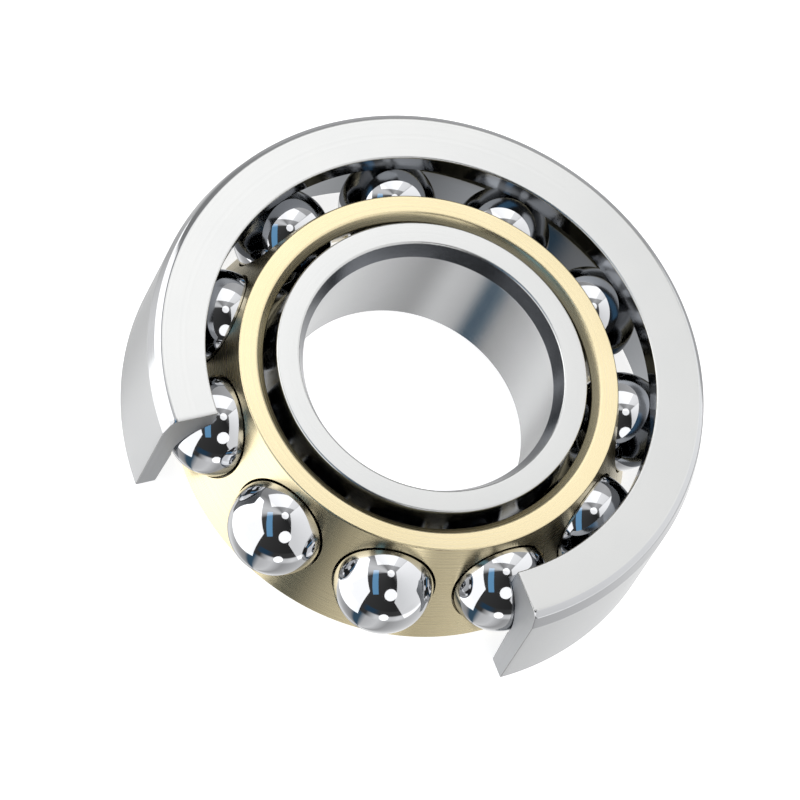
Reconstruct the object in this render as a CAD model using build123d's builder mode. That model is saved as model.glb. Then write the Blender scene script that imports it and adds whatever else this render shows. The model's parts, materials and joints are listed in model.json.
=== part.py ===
"""Single-row angular contact ball bearing, 45 x 100 x 25 mm, 40 degree contact angle.

A display cutaway: the outer ring has a window, so the balls and the brass cage can be seen.
Origin: centre of the bore, in the middle of the width.  +Z is the bearing axis and points out of
the face with the wide outer-ring shoulder.  The window faces -Y.
"""
import os
from math import atan2, cos, degrees, radians, sin, sqrt

from build123d import *

# ------------------------------------------------------------------ driving dimensions, mm
bore_d = 45.0
outside_d = 100.0
width = 25.0

ball_count = 11
ball_d = 17.4625                 # 11/16 inch
pitch_d = 74.2
contact_angle = 40.0             # degrees, from the radial plane
groove_ratio = 0.52              # groove radius over ball diameter
ball_clearance = 0.04            # between ball and raceway along the contact line

window_angle = 92.0              # degrees of outer ring sawn out, centred on -Y
cage_turn = -0.9                 # degrees from the window's middle to the nearest cage bar
outer_land_r = 40.5              # wide outer shoulder, at the front
outer_heel_r = 45.75             # low heel that keeps the balls in at the back
outer_back_r = 46.2              # relieved side, at the back face
inner_land_r = 33.6              # wide inner shoulder, at the back
inner_heel_r = 28.45             # low heel that keeps the balls in at the front
inner_front_r = 27.9             # relieved side, at the front face

outer_corner_radial = 1.7        # mounting corner at the front of the outside diameter
outer_corner_axial = 3.8
outer_nose_radial = 0.7          # where that corner's steep slope meets its flat one
outer_nose_axial = 0.8
outer_corner_blend = 1.0
bore_corner_radial = 1.4         # mounting corner at the front of the bore
bore_corner_axial = 2.9
bore_corner_blend = 0.5
bore_back_break = 0.6            # chamfer at the back of the bore
edge_break = 0.35                # broken edge between a face and its land

cage_front_z = 10.4
cage_back_z = -11.0
cage_front_r = 34.1              # outer cone at the front face
cage_back_r = 41.2               # outer cone at the back face
cage_bevel_r = 30.95             # front edge of the bevel inside the front face
cage_bevel_depth = 1.2
cage_bore_r = 29.5               # inner cone, just behind that bevel
cage_edge_break = 0.3
pocket_clearance = 0.32          # between ball and pocket
pocket_drill_r = 8.2             # straight hole behind the spherical seat
pocket_drill_length = 36.0

# ------------------------------------------------------------------ worked out from them
outside_r = outside_d / 2
bore_r = bore_d / 2
ball_r = ball_d / 2
pitch_r = pitch_d / 2
front_z = width / 2
back_z = -width / 2
groove_r = groove_ratio * ball_d
groove_offset = groove_r - ball_r - ball_clearance
offset_r = groove_offset * cos(radians(contact_angle))
offset_z = groove_offset * sin(radians(contact_angle))
window_edge = -90.0 + window_angle / 2
ball_step = 360.0 / ball_count
first_ball = -90.0 + ball_step / 2 + cage_turn
cone_rise = (cage_back_r - cage_front_r) / (cage_front_z - cage_back_z)
cone_angle = degrees(atan2(cage_back_r - cage_front_r, cage_front_z - cage_back_z))
cage_inside_back_r = cage_bore_r + cone_rise * (cage_front_z - cage_bevel_depth - cage_back_z)


def half_plane(azimuth):
    """Plane through the bearing axis: x runs outward at this azimuth, y runs along +Z."""
    turn = radians(azimuth)
    return Plane(
        origin=(0, 0, 0),
        x_dir=(cos(turn), sin(turn), 0),
        z_dir=(sin(turn), -cos(turn), 0),
    )


def groove_rise(centre_r, r):
    """Axial distance from a groove's centre to the point where the groove passes radius r."""
    return sqrt(groove_r**2 - (r - centre_r) ** 2)


def within(shape, low, high):
    """The sketch vertices that lie in the rectangle from low to high."""
    inside_x = shape.vertices().filter_by_position(Axis.X, low[0], high[0])
    return inside_x.filter_by_position(Axis.Y, low[1], high[1])


def save(piece, name):
    """Label a finished piece and write its STEP file."""
    piece.label = name
    export_step(piece, f"parts/{name}.step")


os.makedirs("parts", exist_ok=True)

# ------------------------------------------------------------------ outer ring
outer_groove_z = -offset_z
outer_groove_centre_r = pitch_r - offset_r
outer_land_end = (outer_land_r, outer_groove_z + groove_rise(outer_groove_centre_r, outer_land_r))
outer_heel = (outer_heel_r, outer_groove_z - groove_rise(outer_groove_centre_r, outer_heel_r))

with BuildPart() as outer_ring:
    with BuildSketch(half_plane(window_edge)) as section:
        with BuildLine():
            Polyline(
                outer_heel,
                (outer_back_r, back_z + edge_break),
                (outer_back_r + edge_break, back_z),
                (outside_r - edge_break, back_z),
                (outside_r, back_z + edge_break),
                (outside_r, front_z - outer_corner_axial),
                (outside_r - outer_nose_radial, front_z - outer_nose_axial),
                (outside_r - outer_corner_radial, front_z),
                (outer_land_r + edge_break, front_z),
                (outer_land_r, front_z - edge_break),
                outer_land_end,
            )
            RadiusArc(outer_land_end, outer_heel, groove_r)
        make_face()
        corner_low = (outside_r - outer_corner_radial, front_z - outer_corner_axial)
        corner_high = (outside_r, front_z)
        corner = within(section.sketch_local, corner_low, corner_high)
        fillet(corner, outer_corner_blend)
    revolve(axis=Axis.Z, revolution_arc=360 - window_angle)
save(outer_ring.part, "outer_ring")

# ------------------------------------------------------------------ inner ring
inner_groove_z = offset_z
inner_groove_centre_r = pitch_r + offset_r
inner_land_end = (inner_land_r, inner_groove_z - groove_rise(inner_groove_centre_r, inner_land_r))
inner_heel = (inner_heel_r, inner_groove_z + groove_rise(inner_groove_centre_r, inner_heel_r))

with BuildPart() as inner_ring:
    with BuildSketch(half_plane(0)) as section:
        with BuildLine():
            Polyline(
                inner_heel,
                (inner_front_r, front_z - edge_break),
                (inner_front_r - edge_break, front_z),
                (bore_r + bore_corner_radial, front_z),
                (bore_r, front_z - bore_corner_axial),
                (bore_r, back_z + bore_back_break),
                (bore_r + bore_back_break, back_z),
                (inner_land_r - edge_break, back_z),
                (inner_land_r, back_z + edge_break),
                inner_land_end,
            )
            RadiusArc(inner_land_end, inner_heel, groove_r)
        make_face()
        corner_low = (bore_r, front_z - bore_corner_axial)
        corner_high = (bore_r + bore_corner_radial, front_z)
        corner = within(section.sketch_local, corner_low, corner_high)
        fillet(corner, bore_corner_blend)
    revolve(axis=Axis.Z)
save(inner_ring.part, "inner_ring")

# ------------------------------------------------------------------ one-piece machined cage
with BuildPart() as cage:
    with BuildSketch(half_plane(0)) as section:
        with BuildLine():
            Polyline(
                (cage_bevel_r, cage_front_z),
                (cage_front_r, cage_front_z),
                (cage_back_r, cage_back_z),
                (cage_inside_back_r, cage_back_z),
                (cage_bore_r, cage_front_z - cage_bevel_depth),
                close=True,
            )
        make_face()
        chamfer(section.sketch_local.vertices().group_by(Axis.Y)[0], cage_edge_break)
    revolve(axis=Axis.Z)
    with PolarLocations(pitch_r, ball_count, start_angle=first_ball):
        Sphere(ball_r + pocket_clearance, mode=Mode.SUBTRACT)
        Cylinder(
            pocket_drill_r,
            pocket_drill_length,
            rotation=(0, 90 - cone_angle, 0),
            mode=Mode.SUBTRACT,
        )
save(cage.part, "cage")

# ------------------------------------------------------------------ balls
# Each ball's poles lie on the axis it rolls about, square to the contact line.
for number in range(ball_count):
    section_plane = half_plane(first_ball + number * ball_step)
    centre = section_plane.from_local_coords((pitch_r, 0, 0))
    spin_x = -sin(radians(contact_angle))
    spin_y = cos(radians(contact_angle))
    spin_tip = section_plane.from_local_coords((pitch_r + spin_x, spin_y, 0))
    with BuildPart(Plane(origin=centre, z_dir=spin_tip - centre)) as ball:
        Sphere(ball_r)
    save(ball.part, f"ball_{number + 1:02d}")
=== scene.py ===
# %% [markdown]
# # A cut-open angular contact bearing
# This lesson models a single-row angular contact ball bearing with a window cut in its outer
# ring, so that the balls and the brass cage can be seen. Two steel rings, one cage and eleven
# balls are separate objects, and each rides on its own body of the fixed frame.

# %% Load the fixed frame
import json
from math import atan2, cos, pi, radians, sin, sqrt

import bmesh
import bpy
from mathutils import Matrix, Quaternion, Vector


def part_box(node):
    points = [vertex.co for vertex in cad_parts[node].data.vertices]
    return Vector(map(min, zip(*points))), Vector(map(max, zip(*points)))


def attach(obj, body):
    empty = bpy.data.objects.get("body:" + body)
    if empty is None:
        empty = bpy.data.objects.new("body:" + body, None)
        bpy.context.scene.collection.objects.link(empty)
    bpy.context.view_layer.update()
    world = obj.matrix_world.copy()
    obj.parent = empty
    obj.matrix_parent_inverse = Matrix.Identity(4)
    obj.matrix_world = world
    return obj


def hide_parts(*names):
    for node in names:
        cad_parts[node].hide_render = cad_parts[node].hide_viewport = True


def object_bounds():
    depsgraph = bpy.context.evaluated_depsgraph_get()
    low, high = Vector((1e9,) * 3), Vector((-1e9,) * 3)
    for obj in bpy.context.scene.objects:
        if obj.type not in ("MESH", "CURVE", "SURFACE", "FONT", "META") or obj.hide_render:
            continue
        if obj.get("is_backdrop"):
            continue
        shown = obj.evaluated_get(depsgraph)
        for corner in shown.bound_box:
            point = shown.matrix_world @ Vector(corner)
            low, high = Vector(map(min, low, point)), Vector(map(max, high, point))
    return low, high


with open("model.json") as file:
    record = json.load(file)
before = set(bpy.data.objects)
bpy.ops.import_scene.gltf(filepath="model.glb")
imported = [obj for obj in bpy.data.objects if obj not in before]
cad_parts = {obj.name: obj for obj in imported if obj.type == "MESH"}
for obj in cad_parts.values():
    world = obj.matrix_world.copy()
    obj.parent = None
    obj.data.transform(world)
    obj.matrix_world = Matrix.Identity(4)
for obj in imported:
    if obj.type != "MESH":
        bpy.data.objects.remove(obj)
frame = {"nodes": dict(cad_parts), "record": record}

mm = 0.001
z_axis = Vector((0, 0, 1))
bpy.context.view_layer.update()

# %% [markdown]
# ## The sizes
# A turned part is known by a few radii and heights. They are read from the frame, so that the
# model cannot drift away from the real fit: the outside diameter, the bore, the two shoulders,
# the cage's largest radius, and the place of every ball. The rest are the bearing maker's own
# proportions, given here once in millimetres.

# %% Read the sizes from the frame
mounts = {mount["name"]: mount for mount in frame["record"]["mounts"]}
ball_names = sorted(name for name in frame["nodes"] if name.startswith("ball_"))
inner_low, inner_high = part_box("inner_ring")
cage_low, cage_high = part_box("cage")
ball_low, ball_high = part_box(ball_names[0])

front_z = inner_high.z
back_z = inner_low.z
outside_r = mounts["outside_seat"]["dims"]["r_mm"] * mm
bore_r = mounts["bore"]["dims"]["r_mm"] * mm
cage_front_z = cage_high.z
cage_back_z = cage_low.z
ball_r = (ball_high.z - ball_low.z) / 2
pitch_r = ((ball_low + ball_high) / 2).xy.length
ball_count = len(ball_names)
print("outside, bore, pitch and ball radius in mm:")
print([round(r / mm, 3) for r in (outside_r, bore_r, pitch_r, ball_r)])

# %% The maker's proportions
window_angle = radians(92.0)          # opening in the outer ring, centred on -Y
contact_angle = radians(40.0)
groove_r = 0.52 * 2 * ball_r          # a groove is a little wider than its ball
groove_offset = groove_r - ball_r - 0.04 * mm
offset_r = groove_offset * cos(contact_angle)
offset_z = groove_offset * sin(contact_angle)
outer_land_r = 40.5 * mm
outer_heel_r = 45.75 * mm
outer_back_r = 46.2 * mm
inner_land_r = 33.6 * mm
inner_heel_r = 28.45 * mm
inner_front_r = 27.9 * mm
outer_corner = (1.7 * mm, 3.8 * mm)       # radial and axial size of the outer mounting corner
outer_nose = (0.7 * mm, 0.8 * mm)         # where its steep slope meets its flat one
bore_corner = (1.4 * mm, 2.9 * mm)        # the bore's mounting corner
bore_back_break = 0.6 * mm
face_break = 0.35 * mm                    # small rounding where a face meets a land
first_ball = atan2(*reversed(((ball_low + ball_high) / 2).xy))

# %% [markdown]
# ## Drawing a turned section
# A lathe part is a section turned about an axis. The section is drawn as a wire: one loose
# vertex is extruded from point to point, and where the section has a ball groove, Spin carries
# the vertex round the groove's centre. Corners are then rounded by a vertex bevel, as with a
# form tool.


# %% A pen for sections
def half_plane(azimuth):
    """The outward direction at this azimuth, and the axis that turns outward towards +Z."""
    outward = Vector((cos(azimuth), sin(azimuth), 0))
    return outward, Vector((-sin(azimuth), cos(azimuth), 0))


def pick(part, kind, test):
    """Select, in edit mode, only the vertices, edges or faces that pass a test."""
    bpy.ops.mesh.select_mode(type=kind)
    bpy.ops.mesh.select_all(action="DESELECT")
    work = bmesh.from_edit_mesh(part.data)
    items = {"VERT": work.verts, "EDGE": work.edges, "FACE": work.faces}[kind]
    found = [item for item in items if test(item)]
    for item in found:
        item.select_set(True)
    work.select_flush_mode()
    bmesh.update_edit_mesh(part.data)
    return len(found)


def draw_section(name, azimuth, start, steps):
    """A closed wire. A step is (r, z), or (r, z, centre r, centre z, segments) for an arc."""
    outward, turn_axis = half_plane(azimuth)
    bpy.ops.object.select_all(action="DESELECT")
    bpy.ops.mesh.primitive_plane_add(size=mm, location=outward * start[0] + z_axis * start[1])
    part = bpy.context.object
    part.name = name
    bpy.ops.object.transform_apply(location=True, rotation=True, scale=True)
    bpy.ops.object.mode_set(mode="EDIT")
    pick(part, "VERT", lambda v: True)
    bpy.ops.mesh.merge(type="CENTER")
    here = start
    for step in [*steps, start]:
        if len(step) == 2:
            move = outward * (step[0] - here[0]) + z_axis * (step[1] - here[1])
            bpy.ops.mesh.extrude_region_move(TRANSFORM_OT_translate={"value": move})
        else:
            centre = Vector(step[2:4])
            angle = Vector(here[:2]) - centre, Vector(step[:2]) - centre
            swing = atan2(angle[1].y, angle[1].x) - atan2(angle[0].y, angle[0].x)
            swing = (swing + pi) % (2 * pi) - pi
            bpy.ops.mesh.spin(
                steps=step[4],
                angle=swing,
                center=outward * centre.x + z_axis * centre.y,
                axis=turn_axis,
            )
        here = step
    bpy.ops.mesh.select_all(action="SELECT")
    bpy.ops.mesh.remove_doubles(threshold=0.001 * mm)
    return part


def round_corner(part, azimuth, corner, size, segments=4):
    """Round one corner of a section: size is how far the rounding reaches along each side."""
    outward, _ = half_plane(azimuth)
    place = outward * corner[0] + z_axis * corner[1]
    found = pick(part, "VERT", lambda v: (v.co - place).length < 0.01 * mm)
    bpy.ops.mesh.bevel(offset=size, segments=segments, affect="VERTICES")
    return found


def groove_rise(centre_r, r):
    """Axial distance from a groove's centre to where the groove passes radius r."""
    return sqrt(groove_r**2 - (r - centre_r) ** 2)


# %% [markdown]
# ## The outer ring
# The outer ring is hardened steel, turned, ground, and then cut open by wire erosion to show
# the inside. Its front has a deep shoulder that carries the thrust, and its back a shallow one.
# Boolean subtraction could cut the window out of a full ring, but a section that is spun
# through only part of a turn gives cleaner cut faces, which are then filled and lightly broken.

# %% Draw and spin the outer ring
window_edge = -pi / 2 + window_angle / 2
outer_groove = (pitch_r - offset_r, -offset_z)
outer_land_end = (outer_land_r, outer_groove[1] + groove_rise(outer_groove[0], outer_land_r))
outer_heel = (outer_heel_r, outer_groove[1] - groove_rise(outer_groove[0], outer_heel_r))
outer_broken = {
    (outer_back_r, back_z): face_break,
    (outside_r, back_z): face_break,
    (outside_r, front_z - outer_corner[1]): 0.11 * mm,
    (outside_r - outer_nose[0], front_z - outer_nose[1]): 0.34 * mm,
    (outside_r - outer_corner[0], front_z): 0.35 * mm,
    (outer_land_r, front_z): face_break,
}
outer_ring = draw_section(
    "outer_ring_steel",
    window_edge,
    outer_heel,
    [
        *outer_broken,
        outer_land_end,
        (*outer_heel, *outer_groove, 40),
    ],
)
for corner, size in outer_broken.items():
    round_corner(outer_ring, window_edge, corner, size)


# %% Turn a section into a part
def revolve(part, angle, steps):
    """Spin the section in edit mode about the bearing's axis, anticlockwise seen from +Z."""
    pick(part, "VERT", lambda v: True)
    bpy.ops.mesh.spin(
        steps=steps, angle=-angle, center=(0, 0, 0), axis=(0, 0, 1), use_auto_merge=False
    )


def close_and_orient(part):
    """Join the seam, and make every face point outwards."""
    pick(part, "VERT", lambda v: True)
    bpy.ops.mesh.remove_doubles(threshold=0.002 * mm)
    bpy.ops.mesh.select_all(action="SELECT")
    bpy.ops.mesh.normals_make_consistent(inside=False)


def smooth(part, angle=radians(30)):
    """Shade smooth up to an angle, with flat faces kept flat beside their roundings."""
    bpy.ops.object.mode_set(mode="OBJECT")
    bpy.ops.object.shade_smooth_by_angle(angle=angle)
    bpy.ops.object.modifier_add(type="WEIGHTED_NORMAL")
    part.modifiers[-1].keep_sharp = True
    bpy.ops.object.modifier_apply(modifier=part.modifiers[-1].name)
    print(part.name, len(part.data.polygons), "faces")


def on_end(azimuth):
    """A test for what lies on the half plane at this azimuth."""
    outward, turn_axis = half_plane(azimuth)

    def test(item):
        return all(abs(v.co.dot(turn_axis)) < 0.001 * mm < v.co.dot(outward) for v in item.verts)

    return test


ring_turn = 2 * pi - window_angle
cut_break = 0.18 * mm
revolve(outer_ring, ring_turn, 268)
for azimuth in (window_edge, window_edge + ring_turn):
    pick(outer_ring, "EDGE", on_end(azimuth))
    bpy.ops.mesh.edge_face_add()
close_and_orient(outer_ring)
for azimuth in (window_edge, window_edge + ring_turn):
    pick(outer_ring, "EDGE", on_end(azimuth))
    bpy.ops.mesh.bevel(offset=cut_break, segments=2, affect="EDGES")
smooth(outer_ring)

# %% [markdown]
# ## The inner ring
# The inner ring is ground all over, with its shoulder at the back and its thin side in front,
# and it is pressed on a shaft. It is the same kind of section, spun through a full turn, whose
# first and last rows of vertices are then merged.

# %% Draw and spin the inner ring
inner_groove = (pitch_r + offset_r, offset_z)
inner_land_end = (inner_land_r, inner_groove[1] - groove_rise(inner_groove[0], inner_land_r))
inner_heel = (inner_heel_r, inner_groove[1] + groove_rise(inner_groove[0], inner_heel_r))
inner_broken = {
    (inner_front_r, front_z): face_break,
    (bore_r + bore_corner[0], front_z): 0.3 * mm,
    (bore_r, front_z - bore_corner[1]): 0.11 * mm,
    (bore_r, back_z): bore_back_break,
    (inner_land_r, back_z): face_break,
}
inner_ring = draw_section(
    "inner_ring_steel",
    0,
    inner_heel,
    [
        *inner_broken,
        inner_land_end,
        (*inner_heel, *inner_groove, 40),
    ],
)
for corner, size in inner_broken.items():
    round_corner(inner_ring, 0, corner, size)
revolve(inner_ring, 2 * pi, 360)
close_and_orient(inner_ring)
smooth(inner_ring)

# %% [markdown]
# ## The cage
# The cage is turned from one piece of brass as a cone that is open at both ends, and eleven
# pockets are drilled through it and finished with a ball cutter. All its pockets are alike, so
# one eleventh of the cone is spun, one pocket is cut from it with a Boolean, its edge is broken,
# and the segment is then repeated round the axis.

# %% Draw one segment of the cage
cage_front_r = 34.1 * mm
cage_back_r = 41.2 * mm
cage_bevel_r = 30.95 * mm
cage_bevel_depth = 1.2 * mm
cage_bore_r = 29.5 * mm
cage_break = 0.25 * mm
pocket_r = ball_r + 0.32 * mm
pocket_drill_r = 8.2 * mm
pocket_break = 0.2 * mm
pocket_turn = 2 * pi / ball_count

cone_rise = (cage_back_r - cage_front_r) / (cage_front_z - cage_back_z)
cage_inner_back_r = cage_bore_r + cone_rise * (cage_front_z - cage_bevel_depth - cage_back_z)
cage_corners = [
    (cage_bevel_r, cage_front_z),
    (cage_front_r, cage_front_z),
    (cage_back_r, cage_back_z),
    (cage_inner_back_r, cage_back_z),
    (cage_bore_r, cage_front_z - cage_bevel_depth),
]
segment_start = first_ball - pocket_turn / 2
cage = draw_section("cage_brass", segment_start, cage_corners[0], cage_corners[1:])
for corner in cage_corners:
    round_corner(cage, segment_start, corner, cage_break, segments=3)
revolve(cage, pocket_turn, 37)
for azimuth in (segment_start, segment_start + pocket_turn):
    pick(cage, "EDGE", on_end(azimuth))
    bpy.ops.mesh.edge_face_add()
close_and_orient(cage)
bpy.ops.object.mode_set(mode="OBJECT")
print("segment vertices:", len(cage.data.vertices))

# %% Cut its pocket
outward, _ = half_plane(first_ball)
pocket_centre = outward * pitch_r
drill_axis = outward + z_axis * cone_rise
drill_turn = Quaternion(z_axis, radians(1.3))     # keeps the tool's rows off the segment's own
drill_tilt = z_axis.rotation_difference(drill_axis) @ drill_turn


def new_primitive(kind, name, **settings):
    """Add a primitive with nothing else selected, and put its origin on the world's."""
    bpy.ops.object.select_all(action="DESELECT")
    getattr(bpy.ops.mesh, f"primitive_{kind}_add")(**settings)
    made = bpy.context.object
    made.name = name
    bpy.ops.object.transform_apply(location=True, rotation=True, scale=True)
    return made


def cut(part, tool, operation="DIFFERENCE"):
    """Apply a Boolean with a tool, a thousand times enlarged so that no small edge is lost."""
    for piece in (part, tool):
        piece.data.transform(Matrix.Scale(1000, 4))
    bpy.ops.object.select_all(action="DESELECT")
    part.select_set(True)
    bpy.context.view_layer.objects.active = part
    bpy.ops.object.modifier_add(type="BOOLEAN")
    step = part.modifiers[-1]
    step.operation = operation
    step.object = tool
    step.solver = "EXACT"
    bpy.ops.object.modifier_apply(modifier=step.name)
    part.data.transform(Matrix.Scale(0.001, 4))
    bpy.data.objects.remove(tool)


drill = new_primitive(
    "cylinder",
    "drill",
    vertices=96,
    radius=pocket_drill_r,
    depth=30 * mm,
    location=pocket_centre,
    rotation=drill_tilt.to_euler(),
)
ball_cutter = new_primitive(
    "uv_sphere",
    "ball_cutter",
    segments=96,
    ring_count=48,
    radius=pocket_r,
    location=pocket_centre,
    rotation=drill_tilt.to_euler(),
)
cut(drill, ball_cutter, "UNION")
cut(cage, drill)
print("after the cut:", len(cage.data.vertices))

# %% Break the pocket's edges and repeat the segment
bpy.ops.object.mode_set(mode="EDIT")
pick(cage, "VERT", lambda v: True)
bpy.ops.mesh.remove_doubles(threshold=0.06 * mm)


def pocket_edge(edge):
    """An edge between the pocket's wall and the cone."""
    middle = (edge.verts[0].co + edge.verts[1].co) / 2
    turned = abs(atan2(middle.y, middle.x) - first_ball)
    return len(edge.link_faces) == 2 and turned < 0.47 * pocket_turn and (
        edge.calc_face_angle(0) > radians(35)
        and cage_back_z + 0.6 * mm < middle.z < cage_front_z - 0.6 * mm
    )


print("pocket edges:", pick(cage, "EDGE", pocket_edge))
bpy.ops.mesh.bevel(offset=pocket_break, segments=2, affect="EDGES", clamp_overlap=True)
for azimuth in (segment_start, segment_start + pocket_turn):
    pick(cage, "FACE", on_end(azimuth))
    bpy.ops.mesh.delete(type="ONLY_FACE")
pick(cage, "VERT", lambda v: True)
bpy.ops.mesh.spin(
    steps=ball_count - 1,
    angle=-(2 * pi - pocket_turn),
    center=(0, 0, 0),
    axis=(0, 0, 1),
    dupli=True,
)
close_and_orient(cage)
smooth(cage)

# %% [markdown]
# ## The balls
# A bearing ball is the roundest thing that is made in a workshop: it is flashed, ground and
# lapped until it is a mirror. A UV sphere would pinch its reflections at the poles, so a cube is
# subdivided and cast into a sphere, whose quads are almost even. One ball is made and copied.

# %% Make one ball and copy it to its places
ball = new_primitive("cube", "ball_steel", size=2 * ball_r)
bpy.ops.object.mode_set(mode="EDIT")
bpy.ops.mesh.select_all(action="SELECT")
bpy.ops.mesh.subdivide(number_cuts=35)
bpy.ops.object.mode_set(mode="OBJECT")
bpy.ops.object.modifier_add(type="CAST")
ball.modifiers[-1].factor = 1
ball.modifiers[-1].use_radius_as_size = False
ball.modifiers[-1].size = ball_r
bpy.ops.object.modifier_apply(modifier=ball.modifiers[-1].name)
bpy.ops.object.shade_smooth()
print("ball size in mm:", [round(side / mm, 3) for side in ball.dimensions])

steel_balls = {}
for name in ball_names:
    low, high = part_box(name)
    bpy.ops.object.select_all(action="DESELECT")
    ball.select_set(True)
    bpy.context.view_layer.objects.active = ball
    bpy.ops.object.duplicate(linked=False)
    copy = bpy.context.object
    copy.name = f"{name}_steel"
    copy.location = (low + high) / 2
    bpy.ops.object.transform_apply(location=True, rotation=False, scale=False)
    steel_balls[name] = copy
bpy.data.objects.remove(ball)

# %% [markdown]
# ## The finishes
# Every finish here is a metal, so its colour is the colour of its reflections, and what tells
# the finishes apart is how the surface was cut: the direction, depth and spacing of its marks,
# which machinists call the lay. The raceways also get a darker colour as painted shade, and the
# bore's corner a much darker one as a painted dark reflection. All patterns use the object's own
# coordinates, and no image is needed. One small function adds a node, and three others build
# what every metal shares.


# %% Colour and node helpers
def srgb(code):
    """An sRGB hex value as linear colour."""
    parts = [int(code[i : i + 2], 16) / 255 for i in (1, 3, 5)]
    linear = [p / 12.92 if p <= 0.04045 else ((p + 0.055) / 1.055) ** 2.4 for p in parts]
    return (*linear, 1)


def add(tree, kind, inputs=(), **settings):
    """Add a node, with its settings, and its inputs given as values or as sockets to link."""
    made = tree.nodes.new(kind)
    for name, value in settings.items():
        setattr(made, name, value)
    for socket, value in dict(inputs).items():
        if isinstance(value, bpy.types.NodeSocket):
            tree.links.new(value, made.inputs[socket])
        else:
            made.inputs[socket].default_value = value
    return made


def start_metal(name):
    """A new metal: its material, its node tree, its shader and the object's coordinates."""
    material = bpy.data.materials.new(name)
    material.use_nodes = True
    tree = material.node_tree
    shader = tree.nodes["Principled BSDF"]
    shader.inputs["Metallic"].default_value = 1.0
    return material, tree, shader, add(tree, "ShaderNodeTexCoord").outputs["Object"]


def radius_of(tree, place):
    """Distance from the bearing's axis."""
    flat = add(tree, "ShaderNodeVectorMath", {0: place, 1: (1, 1, 0)}, operation="MULTIPLY")
    length = add(tree, "ShaderNodeVectorMath", {0: flat.outputs[0]}, operation="LENGTH")
    return length.outputs["Value"]


def fine_marks(tree, along, spacing):
    """Uneven parallel marks that repeat about every spacing, in metres, of the value along."""
    return add(
        tree,
        "ShaderNodeTexNoise",
        {"W": along, "Scale": 0.5 / spacing, "Detail": 3.0, "Roughness": 0.7},
        noise_dimensions="1D",
    ).outputs[0]


def apply_marks(tree, shader, place, marks, colours, roughness, depth):
    """Colour in soft patches, roughness between two values, and relief of a depth in metres."""
    patches = add(
        tree,
        "ShaderNodeTexNoise",
        {"Vector": place, "Scale": 90.0, "Detail": 3.0, "Roughness": 0.55},
    ).outputs[0]
    shade = add(
        tree,
        "ShaderNodeMix",
        {"Factor": patches, 6: srgb(colours[0]), 7: srgb(colours[1])},
        data_type="RGBA",
    ).outputs[2]
    spread = add(
        tree,
        "ShaderNodeMapRange",
        {
            "Value": marks,
            "From Min": 0.25,
            "From Max": 0.75,
            "To Min": roughness[0],
            "To Max": roughness[1],
        },
    ).outputs[0]
    grain = add(
        tree,
        "ShaderNodeTexNoise",
        {"Vector": place, "Scale": 2600.0, "Detail": 2.0, "Roughness": 0.6},
    ).outputs[0]
    relief = add(
        tree,
        "ShaderNodeMath",
        {0: grain, 1: 0.35, 2: marks},
        operation="MULTIPLY_ADD",
    ).outputs[0]
    bump = add(tree, "ShaderNodeBump", {"Height": relief, "Strength": 1.0, "Distance": depth})
    tree.links.new(shade, shader.inputs["Base Color"])
    tree.links.new(spread, shader.inputs["Roughness"])
    tree.links.new(bump.outputs[0], shader.inputs["Normal"])


def turned_metal(name, colours, roughness, stretch, spacing, depth):
    """A metal whose marks run round the bearing's axis, as turning and grinding leave them."""
    material, tree, shader, place = start_metal(name)
    height = add(tree, "ShaderNodeSeparateXYZ", {0: place}).outputs["Z"]
    along = add(
        tree,
        "ShaderNodeMath",
        {0: height, 1: 1.3, 2: radius_of(tree, place)},
        operation="MULTIPLY_ADD",
    ).outputs[0]
    apply_marks(tree, shader, place, fine_marks(tree, along, spacing), colours, roughness, depth)
    round_axis = add(
        tree,
        "ShaderNodeVectorMath",
        {0: (0, 0, 1), 1: place},
        operation="CROSS_PRODUCT",
    ).outputs[0]
    tangent = add(
        tree,
        "ShaderNodeVectorTransform",
        {0: round_axis},
        vector_type="VECTOR",
        convert_from="OBJECT",
        convert_to="WORLD",
    ).outputs[0]
    shader.inputs["Anisotropic"].default_value = stretch
    shader.inputs["Anisotropic Rotation"].default_value = 0.25
    tree.links.new(tangent, shader.inputs["Tangent"])
    return material


# %% [markdown]
# ### Ground steel
# The rings are hardened chromium steel. Their flat faces are ground on a surface grinder and
# their round sides between centres, which leaves a bright grey with very fine circles. Light is
# drawn out across the circles, so the sides, which are ground longer, get more anisotropy than
# the faces. The mounting corners are form-ground and come out smoother. The real marks are some hundredths of a millimetre apart, and are drawn coarser
# here, so that a picture this small can hold them.

# %% Ground bearing steel, on faces and on round sides
# Common name: ground bearing steel. Made by a grinding wheel. The eye sees a soft, even sheen.
ground_face = turned_metal(
    "ground bearing steel face",
    ("#bebebd", "#b8b9b9"),
    roughness=(0.22, 0.26),
    stretch=0.35,
    spacing=0.25 * mm,
    depth=0.0006 * mm,
)
ground_side = turned_metal(
    "ground bearing steel side",
    ("#c4c5c6", "#bdbebf"),
    roughness=(0.21, 0.27),
    stretch=0.65,
    spacing=0.2 * mm,
    depth=0.0006 * mm,
)
ground_corner = turned_metal(
    "ground bearing steel corner",
    ("#b9babc", "#b0b1b3"),
    roughness=(0.1, 0.14),
    stretch=0.2,
    spacing=0.2 * mm,
    depth=0.0003 * mm,
)
print("made", ground_face.name, "and", ground_side.name, "and", ground_corner.name)

# %% [markdown]
# ### The dark corner of the bore
# The bore's mounting corner is the same steel with a much darker colour. This dark grey is a
# painted dark reflection, standing in for the dim inside of the bore that the corner mirrors.

# %% Bore corner steel, with a painted dark reflection
# Common name: bearing steel. Its dark grey is a painted dark reflection. The eye sees a dark grey
# rim.
bore_corner_painted_dark = turned_metal(
    "bore corner steel with painted dark reflection",
    # much darker greys: a painted dark reflection
    ("#74767a", "#686a6e"),
    roughness=(0.12, 0.18),
    stretch=0.3,
    spacing=0.25 * mm,
    depth=0.0004 * mm,
)
print("made", bore_corner_painted_dark.name)
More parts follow.
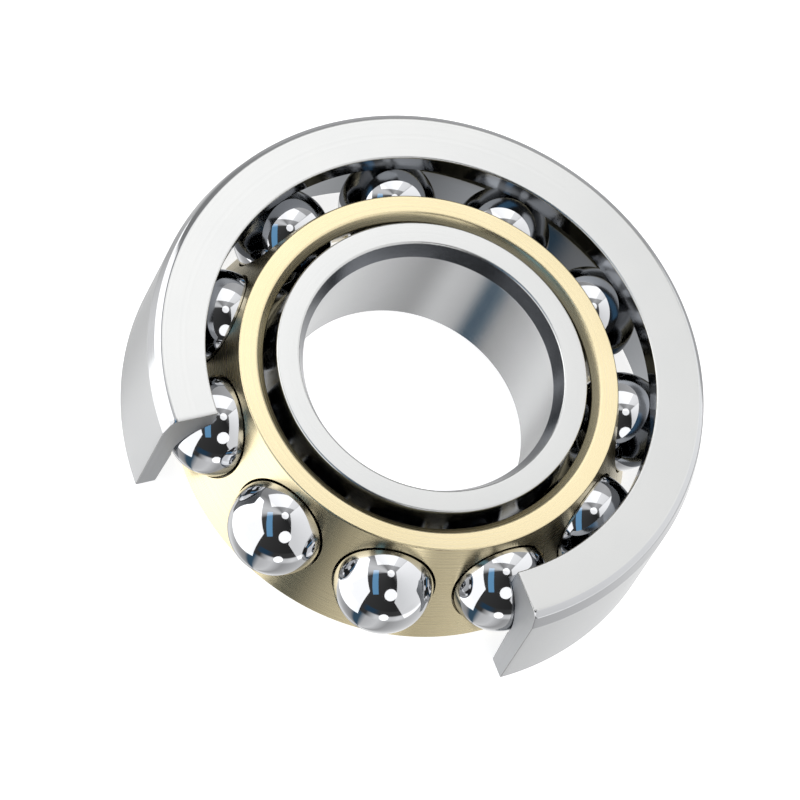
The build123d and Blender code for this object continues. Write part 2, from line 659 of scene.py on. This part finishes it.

# %% [markdown]
# ### Honed raceways, with painted shade
# The grooves and lands that face the balls are honed with stones after grinding. They are
# smoother than the faces, and their darker colour is painted shade: the shade of the ring
# that they lie in, painted into the steel.

# %% Honed bearing steel, with painted shade
# Common name: superfinished steel. Made by honing stones. The eye sees deep, dark reflections; its
# darker grey is painted shade.
honed_track_painted_shade = turned_metal(
    "honed bearing steel raceway, painted shade",
    # darker greys than the faces: painted shade of the ring's inside
    ("#85888c", "#787b7f"),
    roughness=(0.12, 0.17),
    stretch=0.5,
    spacing=0.3 * mm,
    depth=0.0004 * mm,
)
print("made", honed_track_painted_shade.name)

# %% [markdown]
# ### The wire-cut faces
# The window is cut by a thin electric wire that runs along the axis, so its marks are straight,
# side by side along the radius, and the sparks leave a dull, evenly pitted grey. It needs its
# own pattern, since no mark goes round the axis.


# %% Wire-cut bearing steel
# Common name: spark-eroded steel. Made by a wire cut. The eye sees a dull, silky grey.
cut_face, tree, shader, place = start_metal("wire-cut bearing steel")
apply_marks(
    tree,
    shader,
    place,
    fine_marks(tree, radius_of(tree, place), 0.3 * mm),
    ("#b4b5b7", "#a6a8aa"),
    roughness=(0.42, 0.48),
    depth=0.001 * mm,
)
print("made", cut_face.name)

# %% [markdown]
# ### Turned brass
# The cage is turned from cast brass with a pointed tool. Its circles are coarser than those of
# a grinding wheel, and its yellow is pale, because in bright light brass reflects mostly white.

# %% Turned cage brass
# Common name: machining brass. Made on a lathe. The eye sees a pale gold with fine rings.
turned_brass = turned_metal(
    "turned cage brass",
    ("#d6caa9", "#cfc19b"),
    roughness=(0.23, 0.31),
    stretch=0.6,
    spacing=0.22 * mm,
    depth=0.0008 * mm,
)
print("made", turned_brass.name)

# %% [markdown]
# ### Lapped balls
# Lapping rolls a ball every way between two plates, so its marks have no direction. Its
# roughness is almost nil, with cloudy patches so faint that they only soften an edge here and
# there. A cloudy noise takes the place of the marks.

# %% Lapped ball steel
# Common name: chrome steel ball. Made by lapping. The eye sees a near-perfect mirror.
lapped_ball, tree, shader, place = start_metal("lapped ball steel")
clouds = add(
    tree,
    "ShaderNodeTexNoise",
    {"Vector": place, "Scale": 240.0, "Detail": 4.0, "Roughness": 0.6},
).outputs[0]
apply_marks(
    tree,
    shader,
    place,
    clouds,
    ("#c4c5c7", "#bebfc2"),
    roughness=(0.03, 0.07),
    depth=0.00003 * mm,
)
print("made", lapped_ball.name)

# %% [markdown]
# ### Painting by place
# A ring has several finishes, one for each surface. A test on a face's radius, height and
# normal tells them apart, because every surface of a turned part has its own.


# %% Give each surface its finish
def paint(part, material, test):
    """Give a material to the faces of a part whose radius, height and normal pass a test."""
    if material.name not in part.data.materials:
        part.data.materials.append(material)
    index = part.data.materials.find(material.name)
    count = 0
    for face in part.data.polygons:
        if test(face.center.xy.length, face.center.z, face):
            face.material_index = index
            count += 1
    print(material.name, "on", count, "faces of", part.name)


level = 0.99        # above this, the z of a normal is that of a flat face of a ring
many_corners = 40   # only the two cut faces have more corners than this
for part in [outer_ring, inner_ring, cage, *steel_balls.values()]:
    part.data.materials.clear()

paint(outer_ring, ground_face, lambda r, z, face: True)
paint(outer_ring, ground_side, lambda r, z, face: r > outside_r - 0.1 * mm)
paint(
    outer_ring,
    ground_corner,
    lambda r, z, face: r > outside_r - outer_corner[0] and z > front_z - outer_corner[1],
)
# the outer ring's raceway and lands get the honed steel with painted shade
paint(
    outer_ring,
    honed_track_painted_shade,
    lambda r, z, face: r < outer_back_r and abs(face.normal.z) < level and z < front_z - face_break,
)
paint(outer_ring, cut_face, lambda r, z, face: len(face.vertices) > many_corners)

paint(inner_ring, ground_face, lambda r, z, face: True)
paint(inner_ring, ground_side, lambda r, z, face: r < bore_r + 0.1 * mm)
# the bore's corner gets the steel with a painted dark reflection
paint(
    inner_ring,
    bore_corner_painted_dark,
    lambda r, z, face: r < bore_r + bore_corner[0] - 0.2 * mm and z > front_z - bore_corner[1],
)
# the inner ring's raceway and lands get the honed steel with painted shade
paint(
    inner_ring,
    honed_track_painted_shade,
    lambda r, z, face: r > inner_front_r and abs(face.normal.z) < level and z > back_z + face_break,
)

paint(cage, turned_brass, lambda r, z, face: True)
for copy in steel_balls.values():
    paint(copy, lapped_ball, lambda r, z, face: True)

# %% [markdown]
# ## Riding on the frame
# The shaft's ring turns in the fixed outer ring, the balls roll between them, and the cage
# follows the balls. Every piece therefore moves with the body of the CAD part that it stands
# for.

# %% Ride and replace
for piece, name, finish in [
    (outer_ring, "outer_ring", "ring_steel"),
    (inner_ring, "inner_ring", "ring_steel"),
    (cage, "cage", "cage_brass"),
    *((copy, name, "ball_steel") for name, copy in steel_balls.items()),
]:
    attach(piece, name)
    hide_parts(name)
print("pieces on the frame:", 3 + len(steel_balls))

# %% [markdown]
# ## The camera
# The bearing is seen from its front, steeply from above, with the camera rolled so that the
# window opens towards the lower left. A long lens far away keeps the circles almost free of
# perspective.

# %% Camera
camera_elevation = radians(60.45)
camera_azimuth = radians(-93.05)
camera_roll = radians(30.57)
camera_distance = 1.5
frame_width = 0.13998                # metres across the picture, at the bearing's middle
aim = (-2.555 * mm, -0.595 * mm)     # middle of the picture: to the right, and up

outward, _ = half_plane(camera_azimuth)
toward = outward * cos(camera_elevation) + z_axis * sin(camera_elevation)
level_up = (z_axis - toward * toward.z).normalized()
level_right = level_up.cross(toward)
right = level_right * cos(camera_roll) + level_up * sin(camera_roll)
up = level_up * cos(camera_roll) - level_right * sin(camera_roll)


def from_camera(place):
    """A place given as (right, up, towards the camera) from the bearing's middle."""
    return right * place[0] + up * place[1] + toward * place[2]


def looking(across, upward, backward, place):
    """An object matrix from its three axes and its place."""
    turn = Matrix((across, upward, backward)).transposed().to_4x4()
    turn.translation = place
    return turn


camera = bpy.data.objects.new("camera", bpy.data.cameras.new("camera"))
bpy.context.scene.collection.objects.link(camera)
camera.data.sensor_width = 36
camera.data.lens = camera.data.sensor_width * camera_distance / frame_width
camera.data.clip_end = 10
camera.matrix_world = looking(right, up, toward, from_camera((*aim, camera_distance)))
bpy.context.scene.camera = camera
print("lens in mm:", round(camera.data.lens, 1))

# %% [markdown]
# ## The floor
# The bearing lies on its back face on plain white paper. The paper glows a little, as white
# paper does in a bright studio. It is left out of reflections, where the surroundings below
# stand in for a real paper with dark and bright parts around it.

# %% Floor
floor = new_primitive("plane", "floor", size=3, location=(0, 0, back_z))
paper = bpy.data.materials.new("white paper sweep")
paper.use_nodes = True
paper_shader = paper.node_tree.nodes["Principled BSDF"]
paper_shader.inputs["Base Color"].default_value = srgb("#c8c8c8")
paper_shader.inputs["Roughness"].default_value = 0.9
paper_shader.inputs["Emission Color"].default_value = srgb("#ffffff")
paper_shader.inputs["Emission Strength"].default_value = 0.85
floor.data.materials.append(paper)
floor.visible_glossy = False
floor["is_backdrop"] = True
print("floor at", round(back_z / mm, 2), "mm")

# %% [markdown]
# ## The softboxes
# Polished metal is only as good as what it reflects. Large softboxes left, right and above give
# the broad bright areas, three round lamps near the camera give the balls their highlights, and
# a tall bluish window gives the cool stripe in the bore.

# %% Softboxes
box_power = pi   # watts a square metre for a radiance of one


def softbox(name, place, facing, across, size, brightness, colour="#ffffff", shape="RECTANGLE"):
    """A flat area light, placed and turned in the camera's own directions, in metres."""
    light = bpy.data.lights.new(name, "AREA")
    light.shape = shape
    light.size, light.size_y = size
    light.color = srgb(colour)[:3]
    area = size[0] * size[1] * (1 if shape == "RECTANGLE" else pi / 4)
    light.energy = brightness * area * box_power
    lamp = bpy.data.objects.new(name, light)
    bpy.context.scene.collection.objects.link(lamp)
    backward = -from_camera(facing).normalized()
    sideways = from_camera(across)
    sideways = (sideways - backward * sideways.dot(backward)).normalized()
    lamp.matrix_world = looking(sideways, backward.cross(sideways), backward, from_camera(place))
    lamp.visible_camera = False


def lamp(name, place, size, brightness):
    """A round or oval light that faces the bearing."""
    facing = tuple(-step for step in place)
    softbox(name, place, facing, (1, 0, 0), size, brightness, shape="ELLIPSE")


softbox("left box", (-0.6, 0.17, 0.2), (1, 0, 0), (0, 0.95, -0.3), (1.5, 1.2), 1.75)
softbox("right box", (0.6, -0.25, 0.35), (-1, 0, 0), (0, 0, 1), (1.3, 1.6), 1.1)
softbox("top box", (0.08, 0.6, 0.4), (0, -1, 0), (1, 0, 0), (0.56, 0.5), 1.35)
softbox("top corner box", (0.5, 0.6, 0.4), (0, -1, 0), (1, 0, 0), (0.28, 0.5), 0.74)
softbox("window", (-0.39, 0.08, 1.2), (0.3, 0, -1), (1, 0, 0), (0.3, 1.3), 0.9, "#6fb4e6")
lamp("low lamp", (0.27, -0.443, 0.855), (0.48, 0.48), 1.8)
lamp("high lamp", (0.29, 0.37, 0.88), (0.28, 0.28), 1.5)
lamp("foot lamp", (0.0, -0.99, 0.13), (0.27, 0.32), 1.8)

# %% [markdown]
# ## The surroundings
# The world is what the metal mirrors between the softboxes. It is drawn in four bands of
# height, each with its own brightness round the horizon: the paper close by, the paper far away,
# the dark room just under the horizon on the camera's side, and the room above. The camera
# itself sees only white behind the bearing.

# %% Studio surroundings
world = bpy.data.worlds.new("studio")
bpy.context.scene.world = world
world.use_nodes = True
tree = world.node_tree
direction = add(tree, "ShaderNodeTexCoord").outputs["Generated"]
parts = add(tree, "ShaderNodeSeparateXYZ", {0: direction})
climb = parts.outputs["Z"]
bearing = add(
    tree,
    "ShaderNodeMath",
    {0: parts.outputs["Y"], 1: parts.outputs["X"]},
    operation="ARCTAN2",
).outputs[0]
around = add(
    tree,
    "ShaderNodeMapRange",
    {"Value": bearing, "From Min": -pi, "From Max": pi},
).outputs[0]


def surround(stops):
    """Brightness round the horizon, from (azimuth in degrees, grey or colour) stops."""
    ramp = add(tree, "ShaderNodeValToRGB", {"Fac": around})
    shades = [shade if isinstance(shade, tuple) else (shade,) * 3 for _, shade in stops]
    while len(ramp.color_ramp.elements) < len(stops):
        ramp.color_ramp.elements.new(0.5)
    for element, (azimuth, _), shade in zip(ramp.color_ramp.elements, stops, shades):
        element.position = (azimuth + 180) / 360
        element.color = (*shade, 1)
    return ramp.outputs[0]


def step_up(low, high):
    """0 below and 1 above two angles of height, in degrees."""
    return add(
        tree,
        "ShaderNodeMapRange",
        {"Value": climb, "From Min": sin(radians(low)), "From Max": sin(radians(high))},
        interpolation_type="SMOOTHSTEP",
    ).outputs[0]


def blend_shades(factor, first, second):
    """One shade where the factor is 0, and the other where it is 1."""
    mix = add(tree, "ShaderNodeMix", {"Factor": factor, 6: first, 7: second}, data_type="RGBA")
    return mix.outputs[2]


deep_blue = (0.06, 0.12, 0.18)
near_floor = surround([
    (-180, 1.05), (-150, 0.66), (-122, 0.42), (-113, deep_blue), (-101, deep_blue), (-90, 0.75),
    (-68, 0.97), (-48, 0.5), (-12, 0.8), (30, 1.03), (55, 1.05), (73, 1.15), (87, 0.38),
    (97, 0.8), (113, 0.72), (125, 0.6), (135, 0.62), (148, 0.95), (160, 1.15), (179, 1.05),
])
far_floor = surround([
    (-180, 0.9), (-130, 1.0), (-122, 0.5), (-112, 0.06), (-94, 0.06), (-84, 0.6), (-75, 1.05),
    (-45, 0.95), (-33, 1.15), (0, 0.8), (60, 0.7), (120, 0.7), (179, 0.9),
])
horizon = surround([
    (-180, 0.7), (-155, 0.35), (-138, 0.09), (-106, 0.06), (-96, (0.03, 0.07, 0.12)),
    (-84, (0.03, 0.07, 0.12)), (-70, 0.06), (-10, 0.07), (15, 0.35), (60, 0.7), (120, 0.7),
    (179, 0.75),
])
above = surround([
    (-180, 1.0), (-165, 0.9), (-150, 0.08), (-30, 0.03), (20, 0.3), (87, 0.7), (150, 0.35),
    (165, 0.8), (179, 1.0),
])

shade = blend_shades(step_up(-33, -25), near_floor, far_floor)
shade = blend_shades(step_up(-18, -13), shade, horizon)
shade = blend_shades(step_up(-3, 0), shade, above)
backdrop = add(tree, "ShaderNodeBackground", {"Color": (1, 1, 1, 1), "Strength": 1.0})
room = add(tree, "ShaderNodeBackground", {"Color": shade, "Strength": 1.0})
seen = add(tree, "ShaderNodeLightPath").outputs["Is Camera Ray"]
mixed = add(tree, "ShaderNodeMixShader", {0: seen, 1: room.outputs[0], 2: backdrop.outputs[0]})
tree.links.new(mixed.outputs[0], tree.nodes["World Output"].inputs["Surface"])
bpy.context.scene.view_settings.view_transform = "Standard"
print("nodes in the surroundings:", len(tree.nodes))

# %% [markdown]
# ## Measuring and finishing
# The modelled bearing's box is measured, and its size is printed.

# %% Measure and finish
low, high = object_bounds()
print("visual box in mm:", [round(side / mm, 3) for side in high - low])
